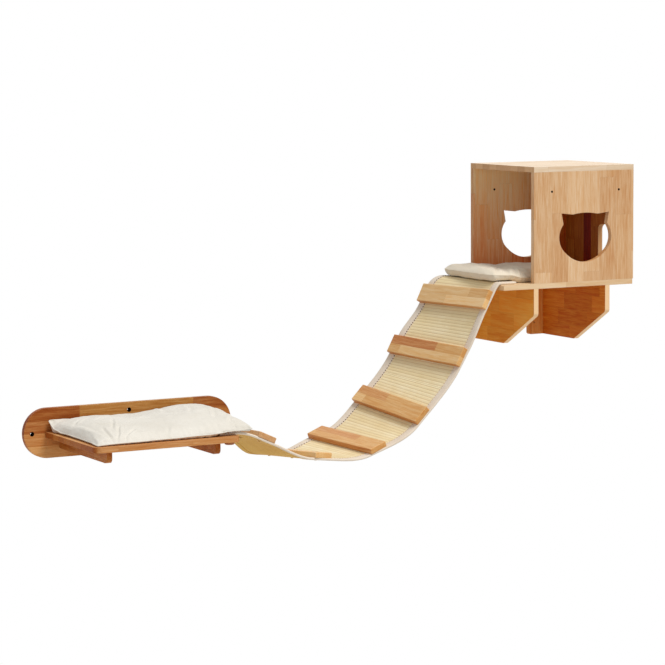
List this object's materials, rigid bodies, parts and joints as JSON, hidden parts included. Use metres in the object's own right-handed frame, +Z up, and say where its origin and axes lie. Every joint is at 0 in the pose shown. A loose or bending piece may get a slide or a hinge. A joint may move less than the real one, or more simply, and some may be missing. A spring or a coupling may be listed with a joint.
{
  "type": "cat wall bridge",
  "caption": "Wall-mounted cat shelf and cube house joined by a hanging canvas and sisal bridge with wooden treads and loose cushions.",
  "frame": {"origin": "on the wall, at the centre of the shelf backboard's left wall hole", "axes": "+X along the wall from the shelf to the house, +Z up, the wall is the plane Y=0 and the furniture stands out to -Y"},
  "size_m": [2.0779, 0.428, 0.9553],
  "materials": {
    "house_wood": "oiled finger-jointed hardwood, satin",
    "base_wood": "oiled finger-jointed hardwood, satin",
    "bracket_wood": "oiled finger-jointed hardwood, satin",
    "shelf_wood": "oiled finger-jointed hardwood, satin",
    "tread_wood": "oiled hardwood, satin",
    "dowel_wood": "raw beech",
    "canvas": "plain woven cotton canvas",
    "binding": "folded and stitched cotton canvas",
    "sisal": "ribbed woven sisal",
    "cushion_cloth": "cream cotton cover",
    "knob": "turned hardwood",
    "screw_steel": "zinc-plated steel"
  },
  "bodies": {
    "root": {"shelf_backboard": "shelf_wood", "shelf_board": "shelf_wood", "shelf_fin_left": "shelf_wood", "shelf_fin_right": "shelf_wood", "shelf_rear_screws": "screw_steel", "shelf_fin_screws": "screw_steel", "shelf_anchor_bolts": "screw_steel", "shelf_anchor_washers": "screw_steel", "shelf_anchor_knobs": "knob", "base_board": "base_wood", "front_panel": "house_wood", "back_panel": "house_wood", "side_panel": "house_wood", "top_panel": "house_wood", "top_dowels": "dowel_wood", "side_dowels": "dowel_wood", "base_screws": "screw_steel", "bracket_plate_left": "bracket_wood", "bracket_fin_left": "bracket_wood", "bracket_plate_right": "bracket_wood", "bracket_fin_right": "bracket_wood", "bracket_screws": "screw_steel", "deck_screws": "screw_steel", "house_anchor_screws": "screw_steel", "house_anchor_washers": "screw_steel", "bridge_canvas": "canvas", "sisal_mat": "sisal", "front_binding": "binding", "back_binding": "binding"},
    "tread_1": {"tread_1": "tread_wood", "tread_1_screws": "screw_steel", "tread_1_washers": "screw_steel"},
    "tread_2": {"tread_2": "tread_wood", "tread_2_screws": "screw_steel", "tread_2_washers": "screw_steel"},
    "tread_3": {"tread_3": "tread_wood", "tread_3_screws": "screw_steel", "tread_3_washers": "screw_steel"},
    "tread_4": {"tread_4": "tread_wood", "tread_4_screws": "screw_steel", "tread_4_washers": "screw_steel"},
    "tread_5": {"tread_5": "tread_wood", "tread_5_screws": "screw_steel", "tread_5_washers": "screw_steel"},
    "tread_6": {"tread_6": "tread_wood", "tread_6_screws": "screw_steel", "tread_6_washers": "screw_steel"},
    "shelf_cushion": {"shelf_cushion": "cushion_cloth"},
    "house_cushion": {"house_cushion": "cushion_cloth"}
  },
  "joints": [
    {"name": "tread_1_rock", "type": "hinge", "parent": "root", "child": "tread_1", "pos_m": [0.64885, -0.21017, -0.03066], "axis": [-0.0281, 0.999, -0.0344], "range_deg": [-7, 7], "stiffness_Nm_per_rad": 8, "deforming": ["bridge_canvas", "sisal_mat", "front_binding", "back_binding"]},
    {"name": "tread_2_rock", "type": "hinge", "parent": "root", "child": "tread_2", "pos_m": [0.83642, -0.21032, -0.11094], "axis": [-0.1447, 0.9875, -0.062], "range_deg": [-7, 7], "stiffness_Nm_per_rad": 8, "deforming": ["bridge_canvas", "sisal_mat", "front_binding", "back_binding"]},
    {"name": "tread_3_rock", "type": "hinge", "parent": "root", "child": "tread_3", "pos_m": [1.04375, -0.20965, -0.08274], "axis": [-0.1476, 0.9882, 0.0402], "range_deg": [-7, 7], "stiffness_Nm_per_rad": 8, "deforming": ["bridge_canvas", "sisal_mat", "front_binding", "back_binding"]},
    {"name": "tread_4_rock", "type": "hinge", "parent": "root", "child": "tread_4", "pos_m": [1.21433, -0.20927, 0.02773], "axis": [-0.144, 0.9829, 0.115], "range_deg": [-7, 7], "stiffness_Nm_per_rad": 8, "deforming": ["bridge_canvas", "sisal_mat", "front_binding", "back_binding"]},
    {"name": "tread_5_rock", "type": "hinge", "parent": "root", "child": "tread_5", "pos_m": [1.35837, -0.20919, 0.20347], "axis": [-0.2065, 0.9773, 0.0469], "range_deg": [-7, 7], "stiffness_Nm_per_rad": 8, "deforming": ["bridge_canvas", "sisal_mat", "front_binding", "back_binding"]},
    {"name": "tread_6_rock", "type": "hinge", "parent": "root", "child": "tread_6", "pos_m": [1.46744, -0.20948, 0.38157], "axis": [-0.1504, 0.9886, -0.0037], "range_deg": [-7, 7], "stiffness_Nm_per_rad": 8, "deforming": ["bridge_canvas", "sisal_mat", "front_binding", "back_binding"]},
    {"name": "shelf_cushion_lift", "type": "slide", "parent": "root", "child": "shelf_cushion", "axis": [0, 0, 1], "range_m": [0, 0.08]},
    {"name": "house_cushion_lift", "type": "slide", "parent": "root", "child": "house_cushion", "axis": [0, 0, 1], "range_m": [0, 0.08]}
  ]
}
